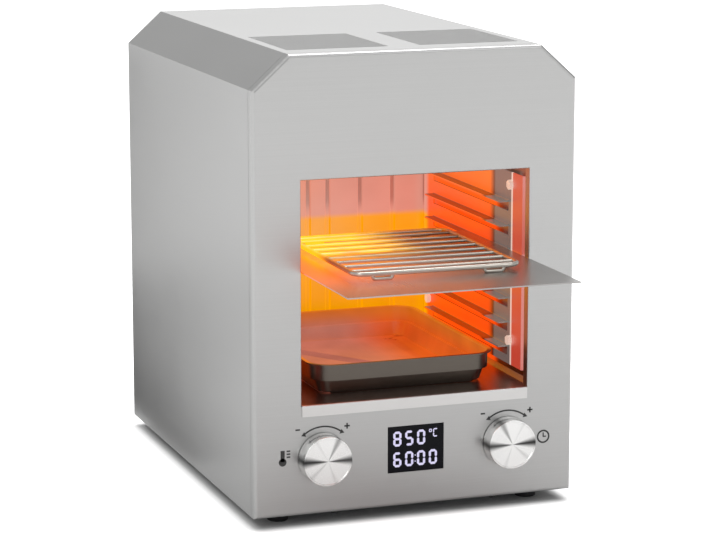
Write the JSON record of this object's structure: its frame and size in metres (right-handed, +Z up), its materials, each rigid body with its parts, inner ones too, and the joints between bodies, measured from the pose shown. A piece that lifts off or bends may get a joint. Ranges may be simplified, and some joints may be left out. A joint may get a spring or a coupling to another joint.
{
  "type": "indoor steak grill",
  "caption": "Upright indoor steak grill: folded steel casing, open glowing cavity with side racks, sliding food tray with wire grate, drip pan, digital display and dial knobs.",
  "frame": {"origin": "centre of the bounding box seen from above, at the level the feet stand on, with the tray pulled out as in the picture", "axes": "+Z up, the front with the opening and the controls faces -Y, +X to the right seen from the front"},
  "size_m": [0.27, 0.4728, 0.3745],
  "materials": {
    "brushed_steel": "fine vertical brushed grain",
    "cavity_steel": "satin, heat tinted",
    "rack_steel": "satin",
    "tray_steel": "satin",
    "grate_wire": "bright drawn wire",
    "pan_steel": "satin, slightly tanned",
    "knob_metal": "circular spun",
    "shaft_metal": "turned",
    "galvanised": "plain zinc",
    "zinc_fastener": "zinc plated",
    "foot_rubber": "matt",
    "heater_ceramic": "unglazed ceramic",
    "element_glow": "oxidised, glowing when on",
    "insulation": "ceramic fibre board",
    "display_lens": "gloss smoked lens",
    "display_body": "matt",
    "circuit_board": "solder mask",
    "black_plastic": "moulded",
    "relay_plastic": "moulded",
    "terminal_plastic": "moulded",
    "inlet_brass": "plated"
  },
  "bodies": {
    "housing": {"front_panel": "brushed_steel", "outer_shell": "brushed_steel", "rear_panel": "brushed_steel", "base_plate": "galvanised", "foot_1": "foot_rubber", "foot_2": "foot_rubber", "foot_3": "foot_rubber", "foot_4": "foot_rubber", "foot_screws": "zinc_fastener", "foot_nuts": "zinc_fastener", "base_screws": "zinc_fastener", "rear_screws": "zinc_fastener", "cavity_liner": "cavity_steel", "side_rack_left": "rack_steel", "side_rack_right": "rack_steel", "rack_screws": "zinc_fastener", "rack_spacers": "zinc_fastener", "rack_nuts": "zinc_fastener", "heating_element": "element_glow", "heater_plate": "heater_ceramic", "heater_board": "insulation", "heater_cover": "galvanised", "heater_screws": "zinc_fastener", "terminal_bushes": "heater_ceramic", "heater_guard": "grate_wire", "thermocouple_probe": "rack_steel", "probe_gland": "zinc_fastener", "thermal_cutout": "black_plastic", "insulation_right": "insulation", "insulation_left": "insulation", "insulation_back": "insulation", "heat_shield": "galvanised", "shield_spacers": "zinc_fastener", "liner_brackets": "galvanised", "encoder_left": "shaft_metal", "encoder_right": "shaft_metal", "encoder_nuts": "zinc_fastener", "display_window": "display_lens", "display_module": "display_body", "control_board": "circuit_board", "board_posts": "zinc_fastener", "board_screws": "zinc_fastener", "power_board": "circuit_board", "power_posts": "zinc_fastener", "power_relay": "relay_plastic", "transformer": "black_plastic", "terminal_block": "terminal_plastic", "fan_housing": "black_plastic", "mains_inlet": "black_plastic", "inlet_pins": "inlet_brass", "inlet_screws": "zinc_fastener"},
    "tray": {"food_tray": "tray_steel"},
    "grate": {"grill_grate": "grate_wire"},
    "pan": {"drip_pan": "pan_steel"},
    "knob_left": {"knob_left": "knob_metal", "encoder_shaft_left": "shaft_metal"},
    "knob_right": {"knob_right": "knob_metal", "encoder_shaft_right": "shaft_metal"},
    "fan_rotor": {"fan_rotor": "black_plastic"}
  },
  "joints": [
    {"name": "tray_slide", "type": "slide", "parent": "housing", "child": "tray", "axis": [0, -1, 0], "range_m": [-0.105, 0.09]},
    {"name": "grate_lift", "type": "slide", "parent": "tray", "child": "grate", "axis": [0, 0, 1], "range_m": [0, 0.045]},
    {"name": "pan_slide", "type": "slide", "parent": "housing", "child": "pan", "axis": [0, -1, 0], "range_m": [0, 0.2]},
    {"name": "knob_left_turn", "type": "hinge", "parent": "housing", "child": "knob_left", "pos_m": [-0.07825, -0.1394, 0.055], "axis": [0, -1, 0], "continuous": true},
    {"name": "knob_right_turn", "type": "hinge", "parent": "housing", "child": "knob_right", "pos_m": [0.07825, -0.1394, 0.055], "axis": [0, -1, 0], "continuous": true},
    {"name": "fan_spin", "type": "hinge", "parent": "housing", "child": "fan_rotor", "pos_m": [-0.06, 0.2186, 0.0605], "axis": [0, 1, 0], "continuous": true}
  ]
}
